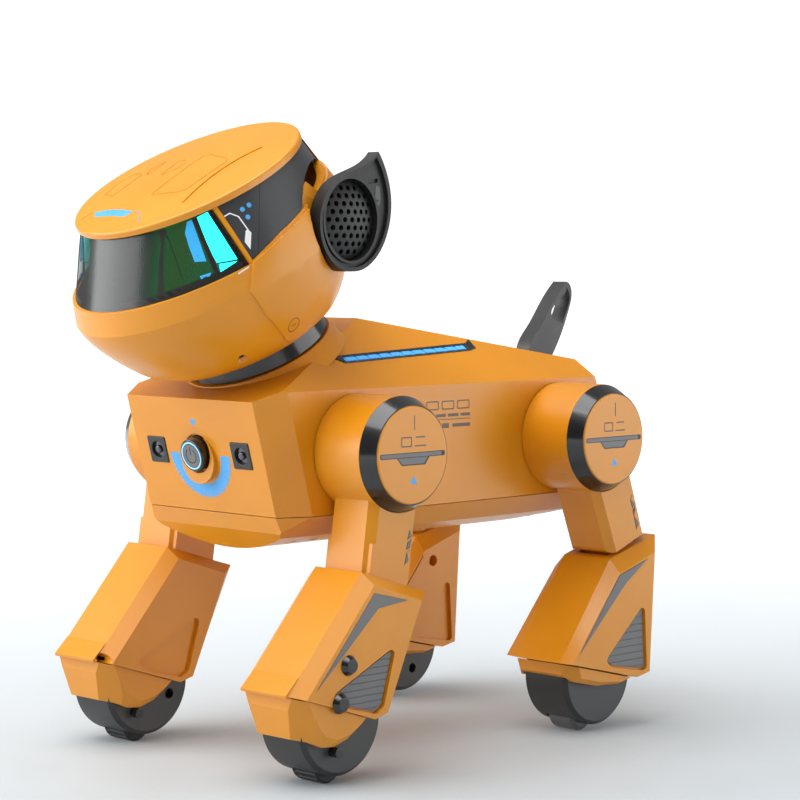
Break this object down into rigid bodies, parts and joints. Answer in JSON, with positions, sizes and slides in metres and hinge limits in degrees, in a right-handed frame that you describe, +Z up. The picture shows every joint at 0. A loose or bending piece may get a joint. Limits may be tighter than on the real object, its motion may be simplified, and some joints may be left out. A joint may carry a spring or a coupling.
{
  "type": "quadruped robot dog",
  "caption": "Toy-size quadruped robot dog with a turning oval head, smoked visor, swivelling ears, wagging tail and jointed legs that end in round feet with small rollers.",
  "frame": {"origin": "centre of the overall footprint, on the floor the rollers stand on", "axes": "-Y forward, +X to the dog's left, +Z up"},
  "size_m": [0.1778, 0.3027, 0.2879],
  "materials": {
    "orange_shell": "satin moulded",
    "black_gloss": "polished",
    "black_satin": "satin",
    "ear_rubber": "soft touch",
    "charcoal_panel": "satin",
    "grey_trim": "satin",
    "smoked_visor": "polished smoked",
    "display": "lit screen",
    "dark_lens": "polished",
    "light_blue": "lit diffuser",
    "motor_metal": "brushed",
    "circuit_board": "solder mask",
    "battery_wrap": "shrink wrap",
    "roller_rubber": "ribbed",
    "roller_polished": "polished"
  },
  "bodies": {
    "torso": {"torso_upper_shell": "orange_shell", "torso_belly_shell": "orange_shell", "battery_door": "orange_shell", "battery_pack": "battery_wrap", "main_board": "circuit_board", "speaker": "black_satin", "sensor_bezels": "black_satin", "sensor_lenses": "dark_lens", "light_bar_housings": "black_gloss", "light_bar_lenses": "light_blue", "hip_motors": "motor_metal", "torso_screws": "motor_metal"},
    "power_button": {"power_button": "black_gloss"},
    "tail": {"tail": "black_satin"},
    "head": {"head_shell": "orange_shell", "crown_plate": "orange_shell", "visor": "smoked_visor", "eye_display": "display", "head_side_panels": "charcoal_panel", "neck_ring": "black_gloss"},
    "left_ear": {"left_ear_cup": "ear_rubber", "left_ear_grille": "ear_rubber"},
    "right_ear": {"right_ear_cup": "ear_rubber", "right_ear_grille": "ear_rubber"},
    "front_left_thigh": {"front_left_thigh_shell": "orange_shell", "front_left_hip_ring": "black_gloss", "front_left_hip_cap": "orange_shell"},
    "front_left_shin": {"front_left_shin_shell": "orange_shell", "front_left_shin_trim": "grey_trim", "front_left_toe_guard": "orange_shell", "front_left_foot_shell": "black_satin", "front_left_leg_pins": "black_gloss"},
    "front_left_roller": {"front_left_roller": "roller_rubber"},
    "front_right_thigh": {"front_right_thigh_shell": "orange_shell", "front_right_hip_ring": "black_gloss", "front_right_hip_cap": "orange_shell"},
    "front_right_shin": {"front_right_shin_shell": "orange_shell", "front_right_shin_trim": "grey_trim", "front_right_toe_guard": "orange_shell", "front_right_foot_shell": "black_satin", "front_right_leg_pins": "black_gloss"},
    "front_right_roller": {"front_right_roller": "roller_rubber"},
    "rear_left_thigh": {"rear_left_thigh_shell": "orange_shell", "rear_left_hip_ring": "black_gloss", "rear_left_hip_cap": "orange_shell"},
    "rear_left_shin": {"rear_left_shin_shell": "orange_shell", "rear_left_shin_trim": "grey_trim", "rear_left_toe_guard": "orange_shell", "rear_left_foot_shell": "black_satin", "rear_left_leg_pins": "black_gloss"},
    "rear_left_roller": {"rear_left_roller": "roller_polished"},
    "rear_right_thigh": {"rear_right_thigh_shell": "orange_shell", "rear_right_hip_ring": "black_gloss", "rear_right_hip_cap": "orange_shell"},
    "rear_right_shin": {"rear_right_shin_shell": "orange_shell", "rear_right_shin_trim": "grey_trim", "rear_right_toe_guard": "orange_shell", "rear_right_foot_shell": "black_satin", "rear_right_leg_pins": "black_gloss"},
    "rear_right_roller": {"rear_right_roller": "roller_polished"}
  },
  "joints": [
    {"name": "neck_turn", "type": "hinge", "parent": "torso", "child": "head", "pos_m": [0, -0.06055, 0.1853], "axis": [0, -0.4695, 0.8829], "range_deg": [-35, 35]},
    {"name": "power_button_press", "type": "slide", "parent": "torso", "child": "power_button", "axis": [0, 0.9659, 0.2588], "range_m": [0, 0.0015], "stiffness_N_per_m": 600},
    {"name": "tail_wag", "type": "hinge", "parent": "torso", "child": "tail", "pos_m": [0, 0.12075, 0.163], "axis": [0, 1, 0], "range_deg": [-25, 25]},
    {"name": "left_ear_swivel", "type": "hinge", "parent": "head", "child": "left_ear", "pos_m": [0.0522, -0.05475, 0.2435], "axis": [1, 0, 0], "range_deg": [-20, 25]},
    {"name": "right_ear_swivel", "type": "hinge", "parent": "head", "child": "right_ear", "pos_m": [-0.0522, -0.05475, 0.2435], "axis": [1, 0, 0], "range_deg": [-20, 25]},
    {"name": "front_left_hip", "type": "hinge", "parent": "torso", "child": "front_left_thigh", "pos_m": [0.06545, -0.04695, 0.1405], "axis": [1, 0, 0], "range_deg": [-45, 25]},
    {"name": "front_left_knee", "type": "hinge", "parent": "front_left_thigh", "child": "front_left_shin", "pos_m": [0.06545, -0.0567, 0.07523], "axis": [1, 0, 0], "range_deg": [0, 10]},
    {"name": "front_left_roller_spin", "type": "hinge", "parent": "front_left_shin", "child": "front_left_roller", "pos_m": [0.06545, -0.08565, 0.0075], "axis": [1, 0, 0], "continuous": true},
    {"name": "front_right_hip", "type": "hinge", "parent": "torso", "child": "front_right_thigh", "pos_m": [-0.06545, -0.04695, 0.1405], "axis": [1, 0, 0], "range_deg": [-45, 25]},
    {"name": "front_right_knee", "type": "hinge", "parent": "front_right_thigh", "child": "front_right_shin", "pos_m": [-0.06545, -0.0567, 0.07523], "axis": [1, 0, 0], "range_deg": [0, 10]},
    {"name": "front_right_roller_spin", "type": "hinge", "parent": "front_right_shin", "child": "front_right_roller", "pos_m": [-0.06545, -0.08565, 0.0075], "axis": [1, 0, 0], "continuous": true},
    {"name": "rear_left_hip", "type": "hinge", "parent": "torso", "child": "rear_left_thigh", "pos_m": [0.06545, 0.08845, 0.1405], "axis": [1, 0, 0], "range_deg": [-20, 45]},
    {"name": "rear_left_knee", "type": "hinge", "parent": "rear_left_thigh", "child": "rear_left_shin", "pos_m": [0.06545, 0.11189, 0.0788], "axis": [1, 0, 0], "range_deg": [0, 10]},
    {"name": "rear_left_roller_spin", "type": "hinge", "parent": "rear_left_shin", "child": "rear_left_roller", "pos_m": [0.06545, 0.08155, 0.0075], "axis": [1, 0, 0], "continuous": true},
    {"name": "rear_right_hip", "type": "hinge", "parent": "torso", "child": "rear_right_thigh", "pos_m": [-0.06545, 0.08845, 0.1405], "axis": [1, 0, 0], "range_deg": [-20, 45]},
    {"name": "rear_right_knee", "type": "hinge", "parent": "rear_right_thigh", "child": "rear_right_shin", "pos_m": [-0.06545, 0.11189, 0.0788], "axis": [1, 0, 0], "range_deg": [0, 10]},
    {"name": "rear_right_roller_spin", "type": "hinge", "parent": "rear_right_shin", "child": "rear_right_roller", "pos_m": [-0.06545, 0.08155, 0.0075], "axis": [1, 0, 0], "continuous": true}
  ]
}
